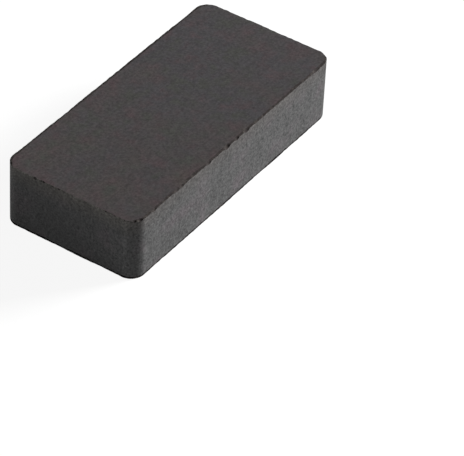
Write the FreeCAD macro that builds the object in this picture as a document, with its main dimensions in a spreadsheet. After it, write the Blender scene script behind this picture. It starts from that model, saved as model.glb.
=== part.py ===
import FreeCAD, Part

import math
import os

import Sketcher

# Block magnet: one piece of sintered hard ferrite, pressed in a die and fired.
# Its upright corners are round, as the die was. Its two large faces are the poles.
# They were ground flat after firing, which left a narrow break along their edges.
# The origin is at the centre of the lower pole face, X runs along the length,
# Y along the width and Z through the thickness. All sizes are in millimetres.

SIZES = {
    "length": 47.6,         # along X, 1.875 in
    "width": 22.2,          # along Y, 0.875 in
    "thickness": 10.0,      # along Z, between the ground pole faces
    "corner_radius": 2.2,   # of the four upright corners
    "edge_break": 0.2,      # leg of the break round each pole face
}


def make_sheet(document):
    """The driving dimensions, one cell with an alias for each."""
    sheet = document.addObject("Spreadsheet::Sheet", "Sizes")
    for row, (name, value) in enumerate(SIZES.items(), start=1):
        sheet.set(f"A{row}", name)
        sheet.set(f"B{row}", str(value))
        sheet.setAlias(f"B{row}", name)
    document.recompute()
    return sheet


def origin_plane(body, role):
    """The body's own origin plane that has this role, such as XY_Plane."""
    return next(item for item in body.Origin.OriginFeatures if item.Role == role)


def draw_outline(body, sheet):
    """The die's section: a rectangle with four round corners, centred on the origin."""
    sketch = body.newObject("Sketcher::SketchObject", "DieSection")
    sketch.AttachmentSupport = [(origin_plane(body, "XY_Plane"), "")]
    sketch.MapMode = "FlatFace"

    vector = FreeCAD.Vector
    end_x = sheet.length / 2
    side_y = sheet.width / 2
    radius = sheet.corner_radius
    inner_x = end_x - radius
    inner_y = side_y - radius

    # The sides run anticlockwise from the front one, and each corner follows its side.
    sides = [
        (vector(-inner_x, -side_y, 0), vector(inner_x, -side_y, 0)),
        (vector(end_x, -inner_y, 0), vector(end_x, inner_y, 0)),
        (vector(inner_x, side_y, 0), vector(-inner_x, side_y, 0)),
        (vector(-end_x, inner_y, 0), vector(-end_x, -inner_y, 0)),
    ]
    corner_centres = [
        vector(inner_x, -inner_y, 0),
        vector(inner_x, inner_y, 0),
        vector(-inner_x, inner_y, 0),
        vector(-inner_x, -inner_y, 0),
    ]
    normal = vector(0, 0, 1)
    quarter = math.radians(90)
    lines = [sketch.addGeometry(Part.LineSegment(*ends), False) for ends in sides]
    arcs = []
    for number, centre in enumerate(corner_centres):
        circle = Part.Circle(centre, normal, radius)
        start = (number - 1) * quarter
        arcs.append(
            sketch.addGeometry(Part.ArcOfCircle(circle, start, start + quarter), False)
        )

    first, last = 1, 2          # a curve's start and end point
    x_axis, y_axis = -1, -2
    front, right, back, left = lines
    rules = []
    for number in range(4):
        following = lines[(number + 1) % 4]
        rules.append(("Tangent", lines[number], last, arcs[number], first))
        rules.append(("Tangent", arcs[number], last, following, first))
    rules += [("Equal", arcs[0], arc) for arc in arcs[1:]]
    rules += [
        ("Horizontal", back),
        ("Vertical", right),
        ("Symmetric", front, first, front, last, y_axis),
        ("Symmetric", left, first, left, last, x_axis),
    ]
    for rule in rules:
        sketch.addConstraint(Sketcher.Constraint(*rule))

    driven = {
        "length": ("DistanceX", left, first, right, first, sheet.length),
        "width": ("DistanceY", front, first, back, first, sheet.width),
        "corner_radius": ("Radius", arcs[0], sheet.corner_radius),
    }
    for name, rule in driven.items():
        index = sketch.addConstraint(Sketcher.Constraint(*rule))
        sketch.renameConstraint(index, name)
        sketch.setExpression(f"Constraints.{name}", f"{sheet.Name}.{name}")
    return sketch


def press_block(body, sketch, sheet):
    """The pressed and fired block, up from the lower pole face."""
    pad = body.newObject("PartDesign::Pad", "PressedBlock")
    pad.Profile = sketch
    pad.setExpression("Length", f"{sheet.Name}.thickness")
    sketch.Visibility = False
    return pad


def pole_faces(shape):
    """Names of the two flat faces that look straight up and straight down."""
    upright = FreeCAD.Vector(0, 0, 1)
    names = []
    for number, face in enumerate(shape.Faces, start=1):
        flat = isinstance(face.Surface, Part.Plane)
        if flat and face.Surface.Axis.isParallel(upright, math.radians(1)):
            names.append(f"Face{number}")
    return names


def break_edges(body, pad, sheet):
    """The narrow break that is left round both ground pole faces."""
    chamfer = body.newObject("PartDesign::Chamfer", "EdgeBreak")
    chamfer.Base = (pad, pole_faces(pad.Shape))
    chamfer.setExpression("Size", f"{sheet.Name}.edge_break")
    return chamfer


def make_magnet_block(document, sheet):
    body = document.addObject("PartDesign::Body", "MagnetBlock")
    body.Label = "magnet_block"
    sketch = draw_outline(body, sheet)
    pad = press_block(body, sketch, sheet)
    document.recompute()
    break_edges(body, pad, sheet)
    document.recompute()
    return body


def check_document(document, parts):
    """Stops on a failed object, or on a piece that isn't one closed, valid solid."""
    for item in document.Objects:
        if "Invalid" in item.State or "Error" in item.State:
            raise RuntimeError(f"{item.Name} failed: {item.State}")
    for part in parts:
        shape = part.Shape
        if shape.isNull() or not shape.isValid() or len(shape.Solids) != 1:
            raise RuntimeError(f"{part.Label} isn't one valid solid")


def write_parts(parts, folder="parts"):
    os.makedirs(folder, exist_ok=True)
    for part in parts:
        part.Shape.exportStep(os.path.join(folder, part.Label + ".step"))
        box = part.Shape.BoundBox
        size = f"{box.XLength:.2f} x {box.YLength:.2f} x {box.ZLength:.2f} mm"
        print(f"{part.Label}: {size}, {part.Shape.Volume:.1f} mm3")


def main():
    document = FreeCAD.newDocument("BlockMagnet")
    sheet = make_sheet(document)
    parts = [make_magnet_block(document, sheet)]
    check_document(document, parts)
    write_parts(parts)


main()
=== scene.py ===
# %% [markdown]
# # A block magnet of hard ferrite, dressed for a picture
# A block magnet is one piece of ceramic. Black ferrite powder is pressed in a steel die and fired
# until its grains sinter together. Then its two pole faces are ground flat and it is magnetised.
# So the whole object is one solid with three finishes: ground pole faces, sides that are still
# as they came from the kiln, and between them a thin rim of chipped, broken edge.
#
# The solid itself comes from the CAD model, which this lesson loads as a fixed frame. The model
# gives the true size. This script adds what a measured drawing leaves out: the ragged rim, the
# faint drag lines of the die, and the materials, light and camera.

import math
import random

import bpy
from mathutils import Matrix, Vector, geometry, noise


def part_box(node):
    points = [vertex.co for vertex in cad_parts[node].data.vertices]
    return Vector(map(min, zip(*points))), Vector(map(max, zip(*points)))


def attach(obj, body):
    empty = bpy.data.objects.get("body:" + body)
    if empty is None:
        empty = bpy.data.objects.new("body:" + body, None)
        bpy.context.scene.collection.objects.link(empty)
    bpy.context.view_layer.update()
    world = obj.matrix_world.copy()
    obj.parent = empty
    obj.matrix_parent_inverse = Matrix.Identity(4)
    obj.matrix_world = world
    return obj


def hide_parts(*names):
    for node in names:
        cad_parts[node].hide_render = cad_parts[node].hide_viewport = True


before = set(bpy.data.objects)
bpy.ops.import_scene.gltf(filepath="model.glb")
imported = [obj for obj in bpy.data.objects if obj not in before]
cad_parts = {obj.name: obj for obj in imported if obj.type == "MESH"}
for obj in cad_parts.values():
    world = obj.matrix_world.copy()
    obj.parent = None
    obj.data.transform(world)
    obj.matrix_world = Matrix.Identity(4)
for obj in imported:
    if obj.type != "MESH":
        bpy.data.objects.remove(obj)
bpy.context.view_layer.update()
MM = 0.001
NODE = "magnet_block"
low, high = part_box(NODE)
print("nodes:", sorted(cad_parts), "size in mm:", [round(v / MM, 2) for v in high - low])

# %% [markdown]
# ## The camera
# A camera can be placed by what a picture shows: the angle that it looks from, how far away it
# stands, how much it leans, and where the object lies in the view. Those few values are easier
# to check and to change than a matrix. The lens is long, and the camera stands almost ten lengths
# of the block away. So the block's edges converge only a little, as in a catalogue picture. The
# block stands up and left of the middle.

# %% Place the camera
SENSOR_WIDTH = 36.0             # mm, Blender's default
PICTURE_WIDTH = 464             # pixels
FOCAL_LENGTH = 3300.2           # pixels, from the way that the block's edges converge
AZIMUTH = math.radians(-57.33)
ELEVATION = math.radians(39.45)
LEAN = math.radians(3.03)
DISTANCE = 463.5 * MM
ASIDE, ABOVE = -8.73 * MM, 8.88 * MM    # of the foot's centre, from the middle of the view


def camera_axes():
    """The camera's own right, up and backward directions, as unit vectors."""
    level = math.cos(ELEVATION)
    back = Vector((
        math.sin(AZIMUTH) * level,
        -math.cos(AZIMUTH) * level,
        math.sin(ELEVATION),
    ))
    right = Vector((0, 0, 1)).cross(back).normalized()
    up = back.cross(right)
    leaning_right = math.cos(LEAN) * right + math.sin(LEAN) * up
    leaning_up = math.cos(LEAN) * up - math.sin(LEAN) * right
    return leaning_right, leaning_up, back


def place_camera():
    right, up, back = camera_axes()
    data = bpy.data.cameras.new("Camera")
    data.sensor_width = SENSOR_WIDTH
    data.lens = FOCAL_LENGTH / PICTURE_WIDTH * SENSOR_WIDTH
    camera = bpy.data.objects.new("Camera", data)
    bpy.context.scene.collection.objects.link(camera)
    camera.location = DISTANCE * back - ASIDE * right - ABOVE * up
    camera.rotation_mode = "QUATERNION"
    camera.rotation_quaternion = Matrix((right, up, back)).transposed().to_quaternion()
    bpy.context.scene.camera = camera
    return camera


camera = place_camera()
print(f"lens {camera.data.lens:.0f} mm, camera {DISTANCE / MM:.0f} mm away")

# %% [markdown]
# ## What the frame says about the block
# The corner radius and the width of the edge break could be typed in again here. They are read
# from the CAD mesh instead, so the dressed block follows the model if that changes. At the top,
# the mesh reaches the box less the break. On the end faces, it reaches across the width less the
# corner radius on each side.

# %% Measure the block
HALF_LENGTH, HALF_WIDTH, THICKNESS = high.x, high.y, high.z


def reach(axis, along, place):
    """How far the CAD mesh goes along one axis, of its points at a place along another."""
    near = 0.001 * MM
    points = [v.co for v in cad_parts[NODE].data.vertices]
    return max(p[axis] for p in points if abs(p[along] - place) < near)


EDGE_BREAK = HALF_LENGTH - reach(0, 2, THICKNESS)
CORNER_RADIUS = HALF_WIDTH - reach(1, 0, HALF_LENGTH)
print(f"corner radius {CORNER_RADIUS / MM:.2f} mm, edge break {EDGE_BREAK / MM:.2f} mm")

# %% [markdown]
# ## Walking round the die's section
# The die's section is a rectangle with round corners. A box with bevelled edges has that outline
# too, but its points crowd at the corners and the straights between them have none. So this
# script walks round the section in even steps, and notes the place and the outward direction at
# each. A step of 0.15 mm is about one pixel of the picture, which is as fine as the ragged rim
# needs. The walk starts at the near end of the front side and goes anticlockwise.

# %% Walk round the section
STEP = 0.15 * MM


def section_runs():
    """The straight and round parts of the section, in order, each with its length."""
    x, y, r = HALF_LENGTH - CORNER_RADIUS, HALF_WIDTH - CORNER_RADIUS, CORNER_RADIUS
    corners = [Vector((x, -y)), Vector((x, y)), Vector((-x, y)), Vector((-x, -y))]
    runs = []
    for number, corner in enumerate(corners):
        facing = (number - 1) * math.pi / 2
        before = corners[number - 1]
        runs.append(("straight", before, facing, (corner - before).length))
        runs.append(("round", corner, facing, r * math.pi / 2))
    return runs


def walk_section():
    """Places and outward directions, evenly spaced round the section, and its girth."""
    runs = section_runs()
    girth = sum(run[3] for run in runs)
    count = round(girth / STEP)
    stations = []
    for index in range(count):
        walked = girth * index / count
        for kind, start, facing, length in runs:
            if walked < length:
                break
            walked -= length
        if kind == "round":
            facing += walked / CORNER_RADIUS
        outward = Vector((math.cos(facing), math.sin(facing)))
        forward = Vector((-outward.y, outward.x))
        place = start + outward * CORNER_RADIUS
        if kind == "straight":
            place = place + forward * walked
        stations.append((place, outward))
    return stations, girth


stations, girth = walk_section()
print(f"{len(stations)} stations round {girth / MM:.1f} mm")

# %% [markdown]
# ## The ragged rim
# Sintered ferrite is brittle. Along the long sides of the upper pole face, the edge has crumbled
# into a narrow, uneven break with small shell-shaped chips, calmer at the back than in front. Its
# ends have only worn round, with a few small chips. The lower pole face has a narrow, even break
# all round. A bevel would be too regular, and bump can't change an outline, so the rim is
# modelled: at each station, one value says how far the break reaches in over the pole face, and
# another how far it reaches down the side, or up it at the lower rim. Noise makes both wander.
# Chips are added as short half-ellipses, most of them random. Those that show most on the real
# block are listed one by one.

# %% Make the chips
random.seed(7)
CHIPS_PER_RIM = 30
SMALLEST_CHIP, CHIP_SPREAD = 0.08, 0.2      # mm
CHIP_HALVES = (1.0, 2.2)                    # half the length of a chip, as a share of its size
CHIP_REACHES = (0.6, 1.3)                   # how far it reaches in and down, likewise

# The chips that show most, all on the upper rim: how far along from the near end of the front
# side, half their length, how far in over the pole face, and how far down the side, in
# millimetres. Those with a place below zero lie before that, on the near corner and near end.
MAIN_CHIPS = [
    (-18.1, 0.5, 0.20, 0.24),
    (-16.8, 0.4, 0.22, 0.28),
    (-15.5, 0.5, 0.20, 0.28),
    (-14.3, 0.4, 0.20, 0.24),
    (-1.8, 0.3, 0.22, 0.20),
    (-0.9, 0.4, 0.26, 0.22),
    (2.0, 0.5, 0.20, 0.28),
    (8.5, 0.4, 0.24, 0.28),
    (11.3, 0.7, 0.44, 0.10),
    (14.8, 0.5, 0.26, 0.30),
    (16.6, 0.5, 0.42, 0.08),
    (19.2, 0.6, 0.38, 0.38),
    (21.6, 0.4, 0.24, 0.30),
    (23.9, 0.6, 0.22, 0.34),
    (26.1, 0.5, 0.42, 0.10),
    (41.2, 0.9, 0.22, 0.28),
    (42.4, 0.4, 0.46, 0.12),
]


def random_chips():
    """Chips anywhere on a rim, small ones far more often than large ones."""
    chips = []
    for _ in range(CHIPS_PER_RIM):
        along = random.uniform(0, girth)
        size = SMALLEST_CHIP + CHIP_SPREAD * random.random() ** 3
        half_length = size * random.uniform(*CHIP_HALVES)
        inward, down = size * random.uniform(*CHIP_REACHES), size * random.uniform(*CHIP_REACHES)
        chips.append((along, half_length * MM, inward * MM, down * MM))
    return chips


upper_chips = random_chips() + [tuple(value * MM for value in chip) for chip in MAIN_CHIPS]
lower_chips = random_chips()
print(f"{len(upper_chips)} chips on the upper rim, {len(lower_chips)} on the lower one")

# %% [markdown]
# ## How far the break reaches
# One even width would look machined. So each rim has three settings, for its front, its back and
# its ends: how far the break reaches in and down there, and how ragged it is, all as shares of
# the edge break of the model. They blend into each other round the corners. Slow noise moves the
# break between pole face and side, fast noise frays its two borders, and a chip widens it, all
# the more where the rim is ragged.

# %% Wear the rims
# At broken_ends 1, the rim's ends are freshly broken all along, and at 0 only in their chips.
UPPER_RIM = {
    "seed": 87.0,
    "broken_ends": 0.0,
    "front": (1.8, 0.15, 0.9),
    "back": (1.9, 0.4, 0.35),
    "ends": (0.35, 0.9, 0.62),
    "chips": upper_chips,
}
LOWER_RIM = {
    "seed": 9.0,
    "broken_ends": 1.0,
    "front": (0.35, 1.9, 0.25),
    "back": (0.35, 1.9, 0.25),
    "ends": (0.35, 1.9, 0.25),
    "chips": lower_chips,
}
TURN_FROM, TURN_OVER = 0.3, 0.5         # the Y part of the outward direction, round a corner
SLOW_WANDER, FAST_WANDER = 4.0 * MM, 0.8 * MM
SLOW_SHARE, DOWN_SHARE = 1.4, 1.2       # how strong slow noise is, and fast noise downwards
LEAST_REACH = 0.03 * MM                 # so that the break has some width everywhere


def on_long_side(outward):
    """1 along the long sides, 0 along the ends, and in between at the corners."""
    share = min(1.0, max(0.0, (abs(outward.y) - TURN_FROM) / TURN_OVER))
    return share * share * (3 - 2 * share)


def wander(place, period, seed):
    """Smooth noise, mostly from -0.5 to 0.5, that changes over about this distance."""
    return noise.noise(Vector((place.x / period, place.y / period, seed)))


def rim_wear(index, rim):
    """How far the break reaches in and down at a station, and how far it is scooped out."""
    place, outward = stations[index]
    along = girth * index / len(stations)
    long_side, seed = on_long_side(outward), rim["seed"]
    side = Vector(rim["front"] if outward.y < 0 else rim["back"])
    reach_in, reach_down, ragged = Vector(rim["ends"]).lerp(side, long_side)
    slow = wander(place, SLOW_WANDER, seed)
    in_fast, down_fast = wander(place, FAST_WANDER, seed + 1), wander(place, FAST_WANDER, seed + 2)
    inward = EDGE_BREAK * (reach_in + ragged * (SLOW_SHARE * slow + in_fast))
    down = EDGE_BREAK * (reach_down + ragged * (DOWN_SHARE * down_fast - SLOW_SHARE * slow))
    scoop = 0.0
    for chip_along, half_length, chip_inward, chip_down in rim["chips"]:
        off = abs(along - chip_along % girth)
        off = min(off, girth - off) / half_length
        if off < 1:
            depth = ragged * math.sqrt(1 - off * off)
            inward = max(inward, chip_inward * depth)
            down = max(down, chip_down * depth)
            scoop = max(scoop, depth)
    return max(inward, LEAST_REACH), max(down, LEAST_REACH), scoop


for name, rim in (("upper", UPPER_RIM), ("lower", LOWER_RIM)):
    rim["wear"] = [rim_wear(index, rim) for index in range(len(stations))]
    widest = max(max(inward, down) for inward, down, _ in rim["wear"])
    print(f"{name} rim: the break is {widest / MM:.2f} mm at its widest")

# %% [markdown]
# ## From the rim to a profile
# Cut the block across its edge and look at the cut: it runs flat along the pole face, over the
# break, and down the side. Each station gets such a profile with the same number of points, so
# that neighbouring profiles can be joined with quads. A boolean could break the edge too, but
# it leaves long thin triangles. Here the points are spaced by the wear itself: the border between
# ground face and broken edge is always an edge of the mesh, and the two finishes meet in a
# crisp, ragged line. A worn edge swells out between its borders, and a chip is hollow there.

# %% Lay out the profiles
RIM_BAND = 1.0 * MM                     # the rim's rows end here, on the face and on the side
SHARES = (1.0, 0.7, 0.4, 0.15, 0.0)     # of the way from the break to the end of that band
BREAK_ROWS = 4
SIDE_ROWS = 19
SWELL, HOLLOW = 0.25, 0.45              # as shares of the width of the break
ROUGH_DEPTH, ROUGH_PERIOD = 0.012 * MM, 0.25 * MM       # of the broken surface itself
WARP_DEPTH, WARP_PERIOD = 0.02, 11      # mm, from firing
FINE_DEPTH, FINE_PERIOD, FINE_DRIFT = 0.003, 0.35, 0.06         # mm, and change per mm of height
COARSE_DEPTH, COARSE_PERIOD, COARSE_DRIFT = 0.005, 1.3, 0.12    # the same, for coarse drag lines
COARSE_SEED = 20                        # keeps the coarse lines from following the fine ones


def side_relief(place, height):
    """How far the as-fired side lies inside the die's section, from warping and drag lines."""
    warp = 0.5 + 0.5 * noise.noise(Vector((place.x, place.y, height)) / (WARP_PERIOD * MM))
    fine = wander(place, FINE_PERIOD * MM, FINE_DRIFT * height / MM)
    coarse = wander(place, COARSE_PERIOD * MM, COARSE_SEED + COARSE_DRIFT * height / MM)
    return (WARP_DEPTH * warp + FINE_DEPTH * (1 + fine) + COARSE_DEPTH * (1 + coarse)) * MM


def rim_profile(index, rim):
    """Points from the pole face, over the break and down the side, as (inset, height)."""
    place = stations[index][0]
    inward, down, scoop = rim["wear"][index]
    points = [(inward + (RIM_BAND - inward) * share, 0.0) for share in SHARES]
    for row in range(1, BREAK_ROWS + 1):
        share = row / (BREAK_ROWS + 1)
        swell = math.sin(math.pi * share) * min(inward, down) * (SWELL - HOLLOW * scoop)
        rough = ROUGH_DEPTH * noise.noise(Vector((*place, share * MM)) / ROUGH_PERIOD)
        out = (swell + rough) / math.sqrt(2)
        points.append((max(0.0, inward * (1 - share) - out), max(0.0, down * share - out)))
    points += [(0.0, down + (RIM_BAND - down) * share) for share in reversed(SHARES)]
    profile = []
    for number, (inset, depth) in enumerate(points):
        height = THICKNESS - depth if rim is UPPER_RIM else depth
        fired = min(1.0, max(0.0, (number - len(SHARES) + 1) / (BREAK_ROWS + 1)))
        profile.append((inset + fired * side_relief(place, height), height))
    return profile


def station_points(index):
    """Every point above and below one station, from the upper pole face to the lower one."""
    place, outward = stations[index]
    upper, lower = rim_profile(index, UPPER_RIM), rim_profile(index, LOWER_RIM)
    span = THICKNESS - 2 * RIM_BAND
    heights = [THICKNESS - RIM_BAND - span * row / (SIDE_ROWS + 1) for row in range(1, SIDE_ROWS + 1)]
    side = [(side_relief(place, height), height) for height in heights]
    rows = upper + side + lower[::-1]
    return [(*(place - outward * inset), height) for inset, height in rows]


columns = [station_points(index) for index in range(len(stations))]
ROWS = len(columns[0])
print(f"{ROWS} rows at {len(columns)} stations")

# %% [markdown]
# ## One skin with three finishes
# Neighbouring profiles are joined with quads. Separate objects for faces, rim and sides would
# meet in gaps or doubled borders, so the block stays one skin, and each of its faces has the
# number of its finish. The row says which: ground on the pole faces, as fired on the sides. The
# break between them is freshly broken where the edge has crumbled or chipped, and as-fired skin
# where it has only worn round. Noise moves the borders between those two to and fro.

# %% Join the profiles
GROUND, FIRED, BROKEN = 0, 1, 2
FRESH_FROM = 0.5            # the share of crumbling above which the break is fresh
FRESH_WANDER, FRESH_PERIOD, FRESH_SEED = 0.6, 0.6 * MM, 5.0


def break_finishes(rim):
    """The finish of the break at each station."""
    chosen = []
    for (place, outward), (_, _, scoop) in zip(stations, rim["wear"]):
        crumbled = max(on_long_side(outward), rim["broken_ends"], scoop)
        border = FRESH_FROM + FRESH_WANDER * wander(place, FRESH_PERIOD, FRESH_SEED)
        chosen.append(BROKEN if crumbled > border else FIRED)
    return chosen


def join_profiles():
    """The quads of the rims and the sides, and the finish of each."""
    count = len(columns)
    face_rows, break_rows = len(SHARES) - 1, BREAK_ROWS + 1
    upper_break, lower_break = break_finishes(UPPER_RIM), break_finishes(LOWER_RIM)
    faces, finishes = [], []
    for row in range(ROWS - 1):
        from_pole = min(row, ROWS - 2 - row)
        row_break = upper_break if row < ROWS / 2 else lower_break
        above, below = row * count, (row + 1) * count
        for i in range(count):
            j = (i + 1) % count
            faces.append((above + i, below + i, below + j, above + j))
            if from_pole < face_rows:
                finishes.append(GROUND)
            elif from_pole < face_rows + break_rows:
                finishes.append(row_break[i])
            else:
                finishes.append(FIRED)
    return faces, finishes


vertices = [column[row] for row in range(ROWS) for column in columns]
faces, finishes = join_profiles()
print(f"{len(faces)} quads, {finishes.count(BROKEN)} of them freshly broken")

# %% [markdown]
# ## Closing the pole faces
# The profiles leave a large hole in each pole face. One face with hundreds of corners could fill
# it, but Blender would cut that into slivers. Constrained Delaunay triangulation joins the last
# row of the rim to a loose grid of inner points with well-shaped triangles, and keeps the rim's
# points as they are, so that the block stays watertight.

# %% Fill the pole faces
FILL_STEP = 0.9 * MM
INSIDE_BORDER = 1           # Blender's number for keeping only the triangles inside the border
SAME_PLACE = 1e-9           # m, where two points count as one


def fill_pole_face(ring):
    """Points, triangles between them, and the numbers of the points that each came from."""
    inset = RIM_BAND + 0.5 * FILL_STEP
    reach_x, reach_y = HALF_LENGTH - inset, HALF_WIDTH - inset
    across, back = round(2 * reach_x / FILL_STEP), round(2 * reach_y / FILL_STEP)
    inner = []
    for i in range(across + 1):
        for j in range(back + 1):
            x, y = reach_x * (2 * i / across - 1), reach_y * (2 * j / back - 1)
            cut_x = abs(x) - (HALF_LENGTH - CORNER_RADIUS)
            cut_y = abs(y) - (HALF_WIDTH - CORNER_RADIUS)
            if min(cut_x, cut_y) > 0 and math.hypot(cut_x, cut_y) > CORNER_RADIUS - inset:
                continue
            inner.append(Vector((x, y)))
    points = [Vector(point[:2]) for point in ring] + inner
    border = [(i, (i + 1) % len(ring)) for i in range(len(ring))]
    made = geometry.delaunay_2d_cdt(points, border, [], INSIDE_BORDER, SAME_PLACE)
    return [tuple(point) for point in made[0]], made[2], made[3]


def close_pole_face(row):
    """Adds the inner points and the triangles of the pole face that this row of points bounds."""
    count = len(columns)
    ring = vertices[row * count:(row + 1) * count]
    points, triangles, sources = fill_pole_face(ring)
    numbers = {}
    for k, point in enumerate(points):
        source = [s for s in sources[k] if s < count]
        if source:
            numbers[k] = row * count + source[0]
        else:
            numbers[k] = len(vertices)
            vertices.append((*point, ring[0][2]))
    for triangle in triangles:
        triangle = [numbers[k] for k in triangle]
        faces.append(triangle if row == 0 else triangle[::-1])
        finishes.append(GROUND)


for row in (0, ROWS - 1):
    close_pole_face(row)
print(f"{len(vertices)} vertices, {len(faces)} faces")

# %% [markdown]
# ## The block as one object
# The skin becomes one mesh object, because the real thing is one piece. Each face keeps the
# number of its finish. The mesh also stores two values at each point for the materials to use:
# how far it is from the rim, in millimetres, and how far round a corner it lies, from an end face
# to a long side. Faces are smooth within one finish, and the border between two finishes is
# marked sharp. Splitting the mesh there would look the same, but it would no longer be closed.

# %% Make the object
def distance_from_rim(point):
    """From the nearest edge of the block, along its surface."""
    inset = min(HALF_LENGTH - abs(point[0]), HALF_WIDTH - abs(point[1]))
    depth = min(point[2], THICKNESS - point[2])
    return max(inset, depth)


def turn_at(point):
    """0 on an end face, 1 on a long side, and in between round a corner."""
    cut_x = abs(point[0]) - (HALF_LENGTH - CORNER_RADIUS)
    cut_y = abs(point[1]) - (HALF_WIDTH - CORNER_RADIUS)
    return math.atan2(max(0.0, cut_y), max(0.0, cut_x)) / (math.pi / 2)


def mark_borders(mesh):
    """Marks each edge sharp that has one finish on one side and another on the other."""
    seen = {}
    for polygon in mesh.polygons:
        for key in polygon.edge_keys:
            seen.setdefault(key, set()).add(polygon.material_index)
    sharp = mesh.attributes.new("sharp_edge", "BOOLEAN", "EDGE")
    sharp.data.foreach_set("value", [len(seen[edge.key]) > 1 for edge in mesh.edges])


def make_block():
    mesh = bpy.data.meshes.new("ferrite_block")
    mesh.from_pydata(vertices, [], faces)
    mesh.polygons.foreach_set("material_index", finishes)
    mesh.shade_smooth()
    rim = mesh.attributes.new("from_rim", "FLOAT", "POINT")
    rim.data.foreach_set("value", [distance_from_rim(point) / MM for point in vertices])
    turn = mesh.attributes.new("turn", "FLOAT", "POINT")
    turn.data.foreach_set("value", [turn_at(point) for point in vertices])
    mark_borders(mesh)
    mesh.validate()
    block = bpy.data.objects.new("ferrite_block", mesh)
    bpy.context.scene.collection.objects.link(block)
    return block


block = make_block()
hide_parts(NODE)
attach(block, "root")
triangles = sum(len(polygon.vertices) - 2 for polygon in block.data.polygons)
print(f"ferrite_block: {triangles} triangles")

# %% [markdown]
# ## Building a material from nodes
# Colours are written as sRGB hex values, as a picture editor shows them, and Blender wants them
# linear. One function turns them. Another adds a node, with its settings, and with a value
# or a link for each input that is named. Patterns are laid out in millimetres of the block's own
# space, so they stay on it from any side. Blender's noise lies mostly between 0.3 and 0.7, so a
# Map Range that reads it takes in some part of that. Where noise stands for relief, it also shades
# the colour, lighter on the heights and darker in the hollows: partly the grain's own tone, and
# partly painted shade.

# %% Helpers for materials
COLOUR_A, COLOUR_B, COLOUR = 6, 7, 2        # a Mix node's colour inputs, and its colour output
SHADED_SPAN = 0.3           # of relief on each side of its middle, over which the shade changes


def linear(hex_colour):
    """An sRGB colour such as "#808080" as linear red, green, blue and alpha."""
    values = []
    for start in (1, 3, 5):
        value = int(hex_colour[start:start + 2], 16) / 255
        values.append(value / 12.92 if value <= 0.04045 else ((value + 0.055) / 1.055) ** 2.4)
    return (*values, 1.0)


def add(tree, kind, inputs, **settings):
    """Adds a node. An input gets a link if its value is another node's output."""
    node = tree.nodes.new("ShaderNode" + kind)
    for name, value in settings.items():
        setattr(node, name, value)
    for name, value in inputs.items():
        if isinstance(value, bpy.types.NodeSocket):
            tree.links.new(value, node.inputs[name])
        else:
            node.inputs[name].default_value = value
    return node


def new_material(name):
    """A material's tree and shader, and the block's own space in millimetres."""
    material = bpy.data.materials.new(name)
    material.use_nodes = True
    tree = material.node_tree
    space = add(tree, "TexCoord", {}).outputs["Object"]
    in_mm = add(tree, "VectorMath", {0: space, "Scale": 1 / MM}, operation="SCALE")
    return material, tree, tree.nodes["Principled BSDF"], in_mm.outputs[0]


print("mid grey, as linear light:", round(linear("#808080")[0], 3))

# %% [markdown]
# ## Ground hard ferrite, for the pole faces
# Sintered ferrite is a dark ceramic. Grinding leaves it flat and even, with fine straight marks
# of the wheel, and with pores a few hundredths of a millimetre wide. Solid ferrite has an IOR
# near 2.4, but marks and pores scatter nearly all of what a polished face would mirror.
# So the surface is matt: a high roughness and a low specular level. Its colour is a neutral grey
# that grows warmer towards the near end and along the rim. It has small patches that are more
# reddish or more olive, and it is a little darker towards the front. A picture of ceramic could
# be laid on it, but noise has no seams, fills any size, and needs no unwrapping.

# %% Ground ferrite
CERAMIC_IOR = 1.5           # of the rough skin as a whole, matched to the block
SKIN_GLOSS = 0.15           # specular level; 0.5 is a plain, closed surface
NEUTRAL, WARM = "#444244", "#484240"
RUSTY, OLIVE = "#4c4143", "#434340"
CLOUD = 6.0                 # mm, the size of the faint clouds in the colour
PATCH = 2.2                 # mm, the size of the patches; the reddish ones gather near the rim
RIM_WARMTH, WARM_BAND = 0.06, 2.6           # the second in mm, inwards from the rim
END_WARMTH = 0.2
WARM_FROM, WARM_TO = -24.0, 8.0             # mm along the block from its middle
FRONT_SHADE = 0.94
SHADED_FROM, SHADED_TO = -11.0, 9.0         # mm across the block from its middle
MARK_WIDTH = 0.3            # mm; real marks are about 0.05 mm, too fine for the picture
MARK_LENGTH = 30.0          # mm
PORE = 0.35                 # mm; real pores are 0.05 mm or less, too fine as well
MARK_SHARE = 0.35           # how much the marks count in the relief, for 1 of the pores
GROUND_CONTRAST = 0.52      # how much the relief shades the colour
GROUND_RELIEF = 0.006 * MM
SMOOTH_MARK, ROUGH_MARK = 0.78, 0.92        # roughness, from mark to mark


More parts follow.
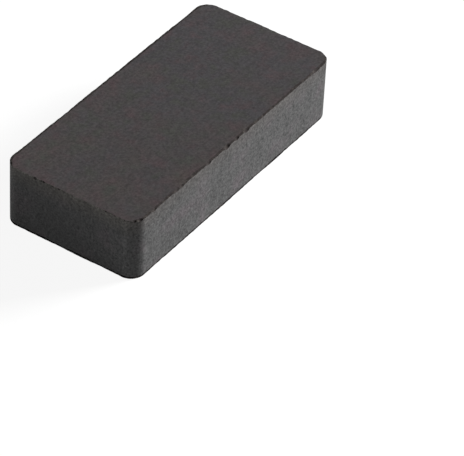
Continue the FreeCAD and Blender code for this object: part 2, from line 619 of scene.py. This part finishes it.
def ground_colour(tree, place):
    """Neutral to warm grey with small patches, before marks and pores shade it."""
    rim = add(tree, "Attribute", {}, attribute_name="from_rim").outputs["Fac"]
    along = add(tree, "SeparateXYZ", {0: place}).outputs["X"]
    cloud = add(tree, "TexNoise", {"Vector": place, "Scale": 1 / CLOUD, "Detail": 4.0}).outputs[0]
    band = add(tree, "MapRange", {
        "Value": rim, "From Max": WARM_BAND, "To Min": RIM_WARMTH, "To Max": 0.0,
    }).outputs[0]
    near_end = add(tree, "MapRange", {
        "Value": along, "From Min": WARM_FROM, "From Max": WARM_TO, "To Min": END_WARMTH, "To Max": 0.0,
    }).outputs[0]
    warmth = add(tree, "Math", {0: cloud, 1: band}, operation="ADD").outputs[0]
    warmth = add(tree, "Math", {0: warmth, 1: near_end}, operation="ADD").outputs[0]
    warmth = add(tree, "MapRange", {"Value": warmth, "From Min": 0.45, "From Max": 0.85}).outputs[0]
    colour = add(tree, "Mix", {
        0: warmth, COLOUR_A: linear(NEUTRAL), COLOUR_B: linear(WARM),
    }, data_type="RGBA").outputs[COLOUR]
    patch = add(tree, "TexNoise", {"Vector": place, "Scale": 1 / PATCH, "Detail": 2.0}).outputs[0]
    patch = add(tree, "Math", {0: band, 1: patch}, operation="ADD").outputs[0]
    rusty = add(tree, "MapRange", {"Value": patch, "From Min": 0.52, "From Max": 0.8}).outputs[0]
    colour = add(tree, "Mix", {
        0: rusty, COLOUR_A: colour, COLOUR_B: linear(RUSTY),
    }, data_type="RGBA").outputs[COLOUR]
    olive = add(tree, "MapRange", {"Value": patch, "From Min": 0.48, "From Max": 0.3}).outputs[0]
    return add(tree, "Mix", {
        0: olive, COLOUR_A: colour, COLOUR_B: linear(OLIVE),
    }, data_type="RGBA").outputs[COLOUR]


def ground_ferrite():
    material, tree, shader, place = new_material("ground_sintered_ferrite")
    colour = ground_colour(tree, place)

    stretch = (1 / MARK_LENGTH, 1 / MARK_WIDTH, 1.0)
    lengthwise = add(tree, "Mapping", {"Vector": place, "Scale": stretch}).outputs[0]
    marks = add(tree, "TexNoise", {"Vector": lengthwise, "Scale": 1.0, "Detail": 3.0}).outputs[0]
    pores = add(tree, "TexNoise", {
        "Vector": place, "Scale": 1 / PORE, "Detail": 3.0, "Roughness": 0.65,
    }).outputs[0]
    relief = add(tree, "Math", {
        0: marks, 1: MARK_SHARE, 2: pores,
    }, operation="MULTIPLY_ADD").outputs[0]
    middle = (1 + MARK_SHARE) / 2
    # The relief shades the colour: partly the grain's own tone, partly painted shade in the hollows.
    shade = add(tree, "MapRange", {
        "Value": relief,
        "From Min": middle - SHADED_SPAN, "From Max": middle + SHADED_SPAN,
        "To Min": 1 - GROUND_CONTRAST, "To Max": 1 + GROUND_CONTRAST,
    }).outputs[0]
    colour = add(tree, "VectorMath", {0: colour, "Scale": shade}, operation="SCALE").outputs[0]
    across = add(tree, "SeparateXYZ", {0: place}).outputs["Y"]
    front = add(tree, "MapRange", {
        "Value": across, "From Min": SHADED_FROM, "From Max": SHADED_TO, "To Min": FRONT_SHADE,
    }).outputs[0]
    colour = add(tree, "VectorMath", {0: colour, "Scale": front}, operation="SCALE").outputs[0]
    roughness = add(tree, "MapRange", {
        "Value": marks, "From Min": 0.3, "From Max": 0.7, "To Min": SMOOTH_MARK, "To Max": ROUGH_MARK,
    }).outputs[0]
    bump = add(tree, "Bump", {"Height": relief, "Strength": 1.0, "Distance": GROUND_RELIEF})

    shader.inputs["IOR"].default_value = CERAMIC_IOR
    shader.inputs["Specular IOR Level"].default_value = SKIN_GLOSS
    tree.links.new(colour, shader.inputs["Base Color"])
    tree.links.new(roughness, shader.inputs["Roughness"])
    tree.links.new(bump.outputs[0], shader.inputs["Normal"])
    return material


block.data.materials.append(ground_ferrite())
print("pole faces:", block.data.materials[GROUND].name)

# %% [markdown]
# ## As-fired hard ferrite, for the sides
# The sides were never ground. They keep the skin of the kiln: matt, grainy, a little mottled, and
# with faint upright lines where the block was pushed out of the die. Lines could be drawn on an
# unwrapped image, but noise that is stretched along Z makes them on all four sides at once. Near
# the upper pole face the skin is a little browner, and on the ends also lighter, which is painted
# light on the upper part of each end face. Along the rim it gets a painted highlight, where the
# rounded rim catches the light, and single light flecks. Each upright corner has a painted
# highlight beside the end face and painted shade where it turns. The height and the two values
# that the mesh stores say where all of these lie.

# %% As-fired ferrite
FIRED_GREY, FIRED_MAUVE = "#494949", "#4c484a"
# The ends' tan is browner and also lighter than the grey. Its lighter part is painted light, for the
# upper part of each end face, which is more lit than its foot.
END_TAN_AND_LIGHT, LONG_TAN = "#555350", "#4a4847"
TAN_AND_LIGHT_BAND, TAN_AND_LIGHT_EDGE = 2.8, 0.3         # mm below the upper pole face: where the tan and, on the ends, the painted light end, and where they are full
MOTTLE = 3.5                # mm
DRAG_WIDTH = 0.45           # mm; real lines are about half as wide
DRAG_LENGTH = 9.0           # mm, nearly the whole thickness
GRAIN = 0.32                # mm; the real grain is under 0.1 mm
DRAG_SHARE, MOTTLE_SHARE = 0.14, 0.18       # how much each counts in the relief, for 1 of grain
FIRED_CONTRAST = 0.9        # how much the relief shades the colour
FIRED_RELIEF = 0.025 * MM
FIRED_ROUGHNESS = 0.72
# Along the rim the skin gets a painted highlight, where its rounded rim catches the light, most on the
# ends.
HIGHLIT_EDGE, HIGHLIT_BAND = 0.08, 0.2        # mm from the rim: painted highlight at its lightest, and none
HIGHLIT_END, HIGHLIT_LONG = 1.4, 1.2          # how light it is at its lightest
FLECK, FLECK_LIGHT = 0.7, 0.26              # the size in mm, and how much light it adds
FLECK_EDGE, FLECK_BAND = 0.4, 0.8           # mm from the rim: flecked most, and not at all
# Round a corner, from the end face (0) to the long side (1): how much the skin is lightened or darkened
# there. This is a painted highlight beside the end face, then painted shade where it turns.
PAINTED_CORNER_LIGHT = [(0.0, 1.0), (0.05, 1.14), (0.17, 1.1), (0.32, 0.83), (0.85, 0.79), (1.0, 1.0)]


def set_stops(ramp, stops):
    """Gives a colour ramp these stops, each a place from 0 to 1 and a grey level."""
    while len(ramp.elements) < len(stops):
        ramp.elements.new(1.0)
    for element, (place, level) in zip(ramp.elements, stops):
        element.position = place
        element.color = (level, level, level, 1.0)


def fired_colour(tree, place, mottle, turn):
    """Grey to mauve, and browner near the upper pole face; on the ends also lighter there, which is
    painted light.
    """
    mauve = add(tree, "MapRange", {"Value": mottle, "From Min": 0.5, "From Max": 0.7}).outputs[0]
    colour = add(tree, "Mix", {
        0: mauve, COLOUR_A: linear(FIRED_GREY), COLOUR_B: linear(FIRED_MAUVE),
    }, data_type="RGBA").outputs[COLOUR]
    top = THICKNESS / MM
    height = add(tree, "SeparateXYZ", {0: place}).outputs["Z"]
    # Browner near the upper pole face, and on the ends lighter too, which is painted light.
    tanned_and_lit = add(tree, "MapRange", {
        "Value": height, "From Min": top - TAN_AND_LIGHT_BAND, "From Max": top - TAN_AND_LIGHT_EDGE,
    }).outputs[0]
    tan_and_light = add(tree, "Mix", {
        0: turn, COLOUR_A: linear(END_TAN_AND_LIGHT), COLOUR_B: linear(LONG_TAN),
    }, data_type="RGBA").outputs[COLOUR]
    return add(tree, "Mix", {
        0: tanned_and_lit, COLOUR_A: colour, COLOUR_B: tan_and_light,
    }, data_type="RGBA").outputs[COLOUR]


def rim_highlight_and_flecks(tree, place, turn):
    """1 on most of a side, and more along the rim: a painted highlight there, and light flecks."""
    rim = add(tree, "Attribute", {}, attribute_name="from_rim").outputs["Fac"]
    most = add(tree, "MapRange", {
        "Value": turn, "To Min": HIGHLIT_END, "To Max": HIGHLIT_LONG,
    }).outputs[0]
    # Painted highlight along the rim.
    lighter_rim = add(tree, "MapRange", {
        "Value": rim, "From Min": HIGHLIT_EDGE, "From Max": HIGHLIT_BAND, "To Min": most, "To Max": 1.0,
    }).outputs[0]
    fleck = add(tree, "TexNoise", {"Vector": place, "Scale": 1 / FLECK, "Detail": 1.0}).outputs[0]
    fleck = add(tree, "MapRange", {
        "Value": fleck, "From Min": 0.54, "From Max": 0.7, "To Max": FLECK_LIGHT,
    }).outputs[0]
    near_rim = add(tree, "MapRange", {
        "Value": rim, "From Min": FLECK_EDGE, "From Max": FLECK_BAND, "To Min": 1.0, "To Max": 0.0,
    }).outputs[0]
    return add(tree, "Math", {0: fleck, 1: near_rim, 2: lighter_rim}, operation="MULTIPLY_ADD").outputs[0]


def fired_ferrite():
    material, tree, shader, place = new_material("as_fired_sintered_ferrite")
    turn = add(tree, "Attribute", {}, attribute_name="turn").outputs["Fac"]
    mottle = add(tree, "TexNoise", {"Vector": place, "Scale": 1 / MOTTLE, "Detail": 3.0}).outputs[0]
    colour = fired_colour(tree, place, mottle, turn)

    stretch = (1 / DRAG_WIDTH, 1 / DRAG_WIDTH, 1 / DRAG_LENGTH)
    upright = add(tree, "Mapping", {"Vector": place, "Scale": stretch}).outputs[0]
    drag = add(tree, "TexNoise", {"Vector": upright, "Scale": 1.0, "Detail": 2.0}).outputs[0]
    grain = add(tree, "TexNoise", {
        "Vector": place, "Scale": 1 / GRAIN, "Detail": 3.0, "Roughness": 0.7,
    }).outputs[0]
    relief = add(tree, "Math", {
        0: drag, 1: DRAG_SHARE, 2: grain,
    }, operation="MULTIPLY_ADD").outputs[0]
    relief = add(tree, "Math", {
        0: mottle, 1: MOTTLE_SHARE, 2: relief,
    }, operation="MULTIPLY_ADD").outputs[0]
    middle = (1 + DRAG_SHARE + MOTTLE_SHARE) / 2
    # The relief shades the colour: partly the grain's own tone, partly painted shade in the hollows.
    shade = add(tree, "MapRange", {
        "Value": relief,
        "From Min": middle - SHADED_SPAN, "From Max": middle + SHADED_SPAN,
        "To Min": 1 - FIRED_CONTRAST, "To Max": 1 + FIRED_CONTRAST,
    }).outputs[0]
    colour = add(tree, "VectorMath", {0: colour, "Scale": shade}, operation="SCALE").outputs[0]
    lighter_rim = rim_highlight_and_flecks(tree, place, turn)
    colour = add(tree, "VectorMath", {0: colour, "Scale": lighter_rim}, operation="SCALE").outputs[0]
    # Painted light round each upright corner: a highlight beside the end face, then shade where it
    # turns.
    ramp = add(tree, "ValToRGB", {0: turn})
    set_stops(ramp.color_ramp, PAINTED_CORNER_LIGHT)
    colour = add(tree, "VectorMath", {0: colour, 1: ramp.outputs[0]}, operation="MULTIPLY").outputs[0]
    bump = add(tree, "Bump", {"Height": relief, "Strength": 1.0, "Distance": FIRED_RELIEF})

    shader.inputs["IOR"].default_value = CERAMIC_IOR
    shader.inputs["Specular IOR Level"].default_value = SKIN_GLOSS
    shader.inputs["Roughness"].default_value = FIRED_ROUGHNESS
    tree.links.new(colour, shader.inputs["Base Color"])
    tree.links.new(bump.outputs[0], shader.inputs["Normal"])
    return material


block.data.materials.append(fired_ferrite())
print("sides:", block.data.materials[FIRED].name)

# %% [markdown]
# ## Freshly broken ferrite, for the rim
# A broken surface shows the inside of the ceramic. It is rougher than the skin, and its hollows
# swallow light, so it is darker and its shader mirrors nothing. Single facets are lighter instead:
# painted glints, where facets would catch the light. The upper rim is less dark than the lower
# one, which is painted reflection in place of the sheen that the shader leaves out, so the colour
# is mixed by height. Plain noise would give soft spots. Voronoi cells have straight borders, as
# facets have, and one value for each cell gives both its painted glint and its height in the bump.

# %% Broken ferrite
# The upper rim's dark is lighter than the lower one's: painted reflection, in place of the sheen that
# the shader leaves out.
BROKEN_DARK, UPPER_DARK_WITH_SHEEN = "#242222", "#3e3a39"
# Painted glints: the colour of facets that would catch the light.
PAINTED_GLINT = "#4d4946"
FACET = 0.35                # mm; most real facets are finer, too fine for the picture
GLINT_FROM = 0.7            # of the cells' values from 0 to 1: facets above it get the painted glint
BROKEN_GLOSS, BROKEN_ROUGHNESS = 0.0, 0.8
BROKEN_RELIEF = 0.03 * MM


def broken_ferrite():
    material, tree, shader, place = new_material("broken_sintered_ferrite")
    cells = add(tree, "TexVoronoi", {"Vector": place, "Scale": 1 / FACET})
    facet = add(tree, "SeparateColor", {0: cells.outputs["Color"]}).outputs[0]
    light = add(tree, "MapRange", {"Value": facet, "From Min": GLINT_FROM}).outputs[0]
    # Mixed by height, so the upper rim gets the painted reflection.
    height = add(tree, "SeparateXYZ", {0: place}).outputs["Z"]
    upper = add(tree, "MapRange", {"Value": height, "From Max": THICKNESS / MM}).outputs[0]
    colour = add(tree, "Mix", {
        0: upper, COLOUR_A: linear(BROKEN_DARK), COLOUR_B: linear(UPPER_DARK_WITH_SHEEN),
    }, data_type="RGBA").outputs[COLOUR]
    # The lightest cells get the painted glint colour.
    colour = add(tree, "Mix", {
        0: light, COLOUR_A: colour, COLOUR_B: linear(PAINTED_GLINT),
    }, data_type="RGBA").outputs[COLOUR]
    bump = add(tree, "Bump", {"Height": facet, "Strength": 1.0, "Distance": BROKEN_RELIEF})

    shader.inputs["IOR"].default_value = CERAMIC_IOR
    shader.inputs["Specular IOR Level"].default_value = BROKEN_GLOSS
    shader.inputs["Roughness"].default_value = BROKEN_ROUGHNESS
    tree.links.new(colour, shader.inputs["Base Color"])
    tree.links.new(bump.outputs[0], shader.inputs["Normal"])
    return material


block.data.materials.append(broken_ferrite())
print("broken rim:", block.data.materials[BROKEN].name)

# %% [markdown]
# ## Soft studio light
# A softbox is an area lamp, aimed at the block. Its power could be tried out in watts. Here it
# is worked out from a level: at level 1, a white card that faces the lamp renders as plain
# white, at any distance. The key light stands low on the right, so that the long front side is the
# brightest and the near end stays dark. A weak fill stands low off the near end, a little
# behind it. The rest of the light comes up from the pale floor.

# %% Light the block
CENTRE = (low + high) / 2
SOFTBOXES = {
    # name: azimuth and elevation in degrees, distance and width in metres, level
    "key_softbox": (60, 20, 0.8, 0.3, 2.37),
    "fill_softbox": (-115, 18, 0.8, 0.4, 0.12),
}


def softbox(name, azimuth, elevation, distance, width, level):
    """A square lamp. Azimuth 0 is in front of the long side and 90 is off the right end."""
    azimuth, elevation = math.radians(azimuth), math.radians(elevation)
    towards = Vector((
        math.sin(azimuth) * math.cos(elevation),
        -math.cos(azimuth) * math.cos(elevation),
        math.sin(elevation),
    ))
    data = bpy.data.lights.new(name, "AREA")
    data.shape = "SQUARE"
    data.size = width
    data.energy = level * (math.pi * distance) ** 2
    lamp = bpy.data.objects.new(name, data)
    bpy.context.scene.collection.objects.link(lamp)
    lamp.location = CENTRE + towards * distance
    lamp.rotation_euler = towards.to_track_quat("Z", "Y").to_euler()
    lamp.visible_camera = False
    return lamp


for name, settings in SOFTBOXES.items():
    lamp = softbox(name, *settings)
    print(f"{name}: {lamp.data.energy:.2f} W")

# %% [markdown]
# ## A white backdrop that keeps the shadow
# The background is white, but a white room would flood the dark end of the block with light. A
# Light Path node tells the rays apart. The camera and reflections see a white world, and a floor
# that glows by itself for the most part, a little over white. The small rest of it is lit by
# the lamps, so the block still casts a soft shadow. The rays that carry light between surfaces
# see a dark grey world, and a floor of almost white paper that sends light up to the block.

# %% Floor and world
AMBIENT, FLOOR_PAPER = "#363636", "#fbfbfb"     # as the rays that carry light see them
WHITE = (1.0, 1.0, 1.0, 1.0)
FLOOR_REACH = 3.0           # m, from the block to each side
GLOW_SHARE, GLOW_STRENGTH = 0.84, 1.08      # the rest of the floor is lit; strength 1 is white


def seen_directly(tree):
    """1 for camera, glossy and transmission rays, and 0 for the others."""
    rays = add(tree, "LightPath", {}).outputs
    seen = add(tree, "Math", {
        0: rays["Is Camera Ray"], 1: rays["Is Glossy Ray"],
    }, operation="MAXIMUM").outputs[0]
    return add(tree, "Math", {
        0: seen, 1: rays["Is Transmission Ray"],
    }, operation="MAXIMUM").outputs[0]


def white_world():
    world = bpy.data.worlds.new("studio")
    bpy.context.scene.world = world
    world.use_nodes = True
    tree = world.node_tree
    colour = add(tree, "Mix", {
        0: seen_directly(tree), COLOUR_A: linear(AMBIENT), COLOUR_B: WHITE,
    }, data_type="RGBA").outputs[COLOUR]
    tree.links.new(colour, tree.nodes["Background"].inputs["Color"])


def floor_paper():
    """White to the camera and pale to the light. From below it is clear, to show the underside."""
    material = bpy.data.materials.new("floor_paper")
    material.use_nodes = True
    tree = material.node_tree
    tree.nodes.remove(tree.nodes["Principled BSDF"])
    paper = add(tree, "BsdfDiffuse", {"Color": linear(FLOOR_PAPER)}).outputs[0]
    lit = add(tree, "BsdfDiffuse", {"Color": WHITE}).outputs[0]
    glow = add(tree, "Emission", {"Color": WHITE, "Strength": GLOW_STRENGTH}).outputs[0]
    white = add(tree, "MixShader", {0: GLOW_SHARE, 1: lit, 2: glow}).outputs[0]
    shown = add(tree, "MixShader", {0: seen_directly(tree), 1: paper, 2: white}).outputs[0]
    clear = add(tree, "BsdfTransparent", {}).outputs[0]
    from_below = add(tree, "NewGeometry", {}).outputs["Backfacing"]
    sheet = add(tree, "MixShader", {0: from_below, 1: shown, 2: clear}).outputs[0]
    tree.links.new(sheet, tree.nodes["Material Output"].inputs["Surface"])
    return material


def white_floor():
    mesh = bpy.data.meshes.new("floor")
    r = FLOOR_REACH
    mesh.from_pydata([(-r, -r, 0), (r, -r, 0), (r, r, 0), (-r, r, 0)], [], [(0, 1, 2, 3)])
    mesh.materials.append(floor_paper())
    floor = bpy.data.objects.new("floor", mesh)
    bpy.context.scene.collection.objects.link(floor)


white_world()
white_floor()
bpy.context.scene.view_settings.view_transform = "Standard"
print(f"floor {2 * FLOOR_REACH:.0f} m wide, {GLOW_SHARE:.0%} of it glow")
